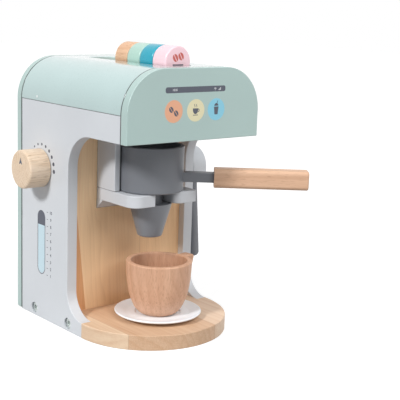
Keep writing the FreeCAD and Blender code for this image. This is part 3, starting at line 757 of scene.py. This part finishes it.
def capsule_print():
    # Pair of beans over a short rule
    low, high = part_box("capsule_1")
    face = face_matrix(Vector((0, low.y, 0)), (1, 0, 0), (0, 0, 1))
    up = (low.z + high.z) / 2 / MM
    pair = bean((-3.6, up + 4.6), 30, 8.6, 6.0) + bean((4.0, up + 6.2), 30, 8.6, 6.0)
    printed("capsule_beans", "capsule_1", face, pair, RED_INK)
    rule = bar(-7.4, 7.4, up - 3.6, up - 2.2, 0.6, 3)
    printed("capsule_rule", "capsule_1", face, rule, DARK_INK)


# Studio

def build_camera():
    yaw, pitch, roll = (math.radians(angle) for angle in (camera_yaw, camera_pitch, camera_roll))
    forward = Vector((math.sin(yaw) * math.cos(pitch), math.cos(yaw) * math.cos(pitch), -math.sin(pitch)))
    level = Vector((math.cos(yaw), -math.sin(yaw), 0))
    down = forward.cross(level)
    right = math.cos(roll) * level + math.sin(roll) * down
    drop = -math.sin(roll) * level + math.cos(roll) * down
    data = bpy.data.cameras.new("photo_camera")
    data.lens = camera_lens
    data.sensor_width = camera_sensor
    data.shift_x = camera_shift
    data.clip_start = 0.01
    camera = bpy.data.objects.new("photo_camera", data)
    bpy.context.scene.collection.objects.link(camera)
    turn = Matrix((right, -drop, -forward)).transposed().to_4x4()
    camera.matrix_world = Matrix.Translation(Vector(camera_place) * MM) @ turn
    bpy.context.scene.camera = camera


def add_light(name, kind, direction, distance):
    data = bpy.data.lights.new(name, kind)
    light = bpy.data.objects.new(name, data)
    bpy.context.scene.collection.objects.link(light)
    toward = Vector(direction).normalized()
    turn = toward.to_track_quat("Z", "Y").to_matrix().to_4x4()
    light.matrix_world = Matrix.Translation(toward * distance) @ turn
    return data


def build_lights():
    # Each level is the share of full brightness on a white surface that faces the lamp
    key = add_light("key", "SUN", key_direction, sun_distance)
    key.angle = math.radians(key_spread)
    key.energy = key_level * math.pi
    rim = add_light("rim", "SUN", rim_direction, sun_distance)
    rim.angle = math.radians(rim_spread)
    rim.energy = rim_level * math.pi
    # Its mirror image would bleach the glossy roof
    bpy.data.objects["rim"].visible_glossy = False
    fill = add_light("fill", "AREA", fill_direction, fill_distance)
    fill.shape = "DISK"
    fill.size = fill_size
    fill.energy = fill_level * math.pi ** 2 * fill_distance ** 2


def seen_directly(tree):
    # 1 for rays that show the background itself: camera, mirror and glass rays
    path = tree.nodes.new("ShaderNodeLightPath").outputs
    total = path["Is Camera Ray"]
    for kind in ("Is Glossy Ray", "Is Transmission Ray"):
        larger = tree.nodes.new("ShaderNodeMath")
        larger.operation = "MAXIMUM"
        tree.links.new(total, larger.inputs[0])
        tree.links.new(path[kind], larger.inputs[1])
        total = larger.outputs[0]
    return total


def build_world():
    world = bpy.data.worlds.new("studio")
    world.use_nodes = True
    bpy.context.scene.world = world
    tree = world.node_tree
    sky = tree.nodes["Background"]
    sky.inputs["Strength"].default_value = sky_level
    sky.inputs["Color"].default_value = (1, 1, 1, 1)
    white = tree.nodes.new("ShaderNodeBackground")
    white.inputs["Color"].default_value = (1, 1, 1, 1)
    white.inputs["Strength"].default_value = 1.0
    both = tree.nodes.new("ShaderNodeMixShader")
    tree.links.new(seen_directly(tree), both.inputs[0])
    tree.links.new(sky.outputs[0], both.inputs[1])
    tree.links.new(white.outputs[0], both.inputs[2])
    tree.links.new(both.outputs[0], tree.nodes["World Output"].inputs["Surface"])


def build_floor():
    # White as seen by the camera except for a faint shadow, and grey in the light that it throws back
    material = bpy.data.materials.new("floor")
    material.use_nodes = True
    tree = material.node_tree
    plain = tree.nodes.new("ShaderNodeBsdfDiffuse")
    plain.inputs["Color"].default_value = (floor_grey, floor_grey, floor_grey, 1)
    pale = tree.nodes.new("ShaderNodeBsdfDiffuse")
    pale.inputs["Color"].default_value = (floor_seen_grey, floor_seen_grey, floor_seen_grey, 1)
    glow = tree.nodes.new("ShaderNodeEmission")
    glow.inputs["Strength"].default_value = floor_glow
    bright = tree.nodes.new("ShaderNodeAddShader")
    tree.links.new(pale.outputs[0], bright.inputs[0])
    tree.links.new(glow.outputs[0], bright.inputs[1])
    both = tree.nodes.new("ShaderNodeMixShader")
    tree.links.new(seen_directly(tree), both.inputs[0])
    tree.links.new(plain.outputs[0], both.inputs[1])
    tree.links.new(bright.outputs[0], both.inputs[2])
    tree.links.new(both.outputs[0], tree.nodes["Material Output"].inputs["Surface"])
    grid = bmesh.new()
    bmesh.ops.create_grid(grid, x_segments=1, y_segments=1, size=floor_half)
    floor = mesh_piece("floor", grid, material, smooth=False)


bpy.context.scene.view_settings.view_transform = "Standard"
build_camera()
build_world()
build_floor()
build_lights()
dress_nodes()
knob_piece()
capsule_pieces()
saucer_piece()
fascia_prints()
panel_prints()
knob_print()
capsule_print()
